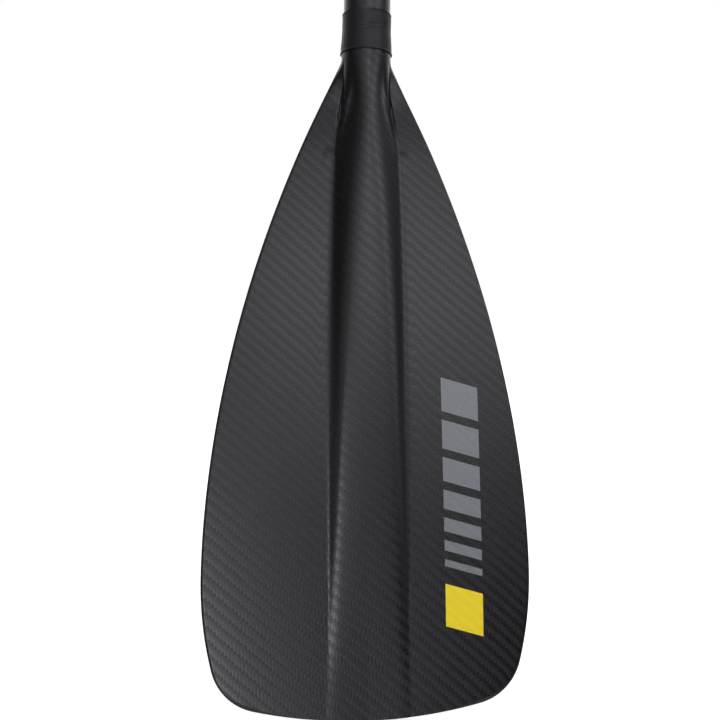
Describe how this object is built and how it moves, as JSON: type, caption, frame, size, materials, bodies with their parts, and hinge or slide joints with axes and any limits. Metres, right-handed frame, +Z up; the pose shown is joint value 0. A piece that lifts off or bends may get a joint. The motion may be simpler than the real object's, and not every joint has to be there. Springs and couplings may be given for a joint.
{
  "type": "paddle",
  "caption": "Length-adjustable stand-up paddle with an angled carbon blade, a clamped telescoping shaft and a palm grip",
  "frame": {"origin": "on the shaft's axis at the joint, where the lower shaft meets the neck of the blade", "axes": "+Z up the shaft towards the grip, -Y out of the blade's ribbed back face (the face away from the paddler), +X to the right when that face is looked at"},
  "size_m": [0.19, 0.1027, 1.6508],
  "materials": {
    "woven_carbon": "twill carbon laminate under a satin clear coat",
    "shaft_carbon": "carbon tube with a satin clear coat",
    "heat_shrink": "black heat-shrink sleeve, slightly wrinkled",
    "foam": "closed-cell foam",
    "moulded_composite": "glass-filled moulding, matt",
    "black_nylon": "glass-filled nylon, finely grained",
    "pale_acetal": "smooth natural acetal",
    "stainless_steel": "plain stainless steel",
    "soft_rubber": "soft overmoulded rubber, matt"
  },
  "bodies": {
    "blade_section": {"blade_back_skin": "woven_carbon", "blade_power_skin": "woven_carbon", "blade_core": "foam", "blade_tang": "moulded_composite", "shrink_sleeve": "heat_shrink", "lower_shaft": "shaft_carbon", "lower_foam_plug": "foam", "clamp_collar": "black_nylon", "collar_liner": "pale_acetal", "clamp_screw": "stainless_steel", "screw_washer": "stainless_steel", "wear_plate": "stainless_steel", "lever_barrel": "stainless_steel"},
    "upper_section": {"upper_shaft": "shaft_carbon", "upper_end_plug": "black_nylon", "upper_foam_plug": "foam", "grip_core": "black_nylon", "grip_pad": "soft_rubber"},
    "lever": {"clamp_lever": "black_nylon"}
  },
  "joints": [
    {"name": "length_slide", "type": "slide", "parent": "blade_section", "child": "upper_section", "axis": [0, 0, 1], "range_m": [0, 0.45]},
    {"name": "lever_hinge", "type": "hinge", "parent": "blade_section", "child": "lever", "pos_m": [0.0245, -0.0189, 1.094], "axis": [0, 0, 1], "range_deg": [0, 150]}
  ]
}
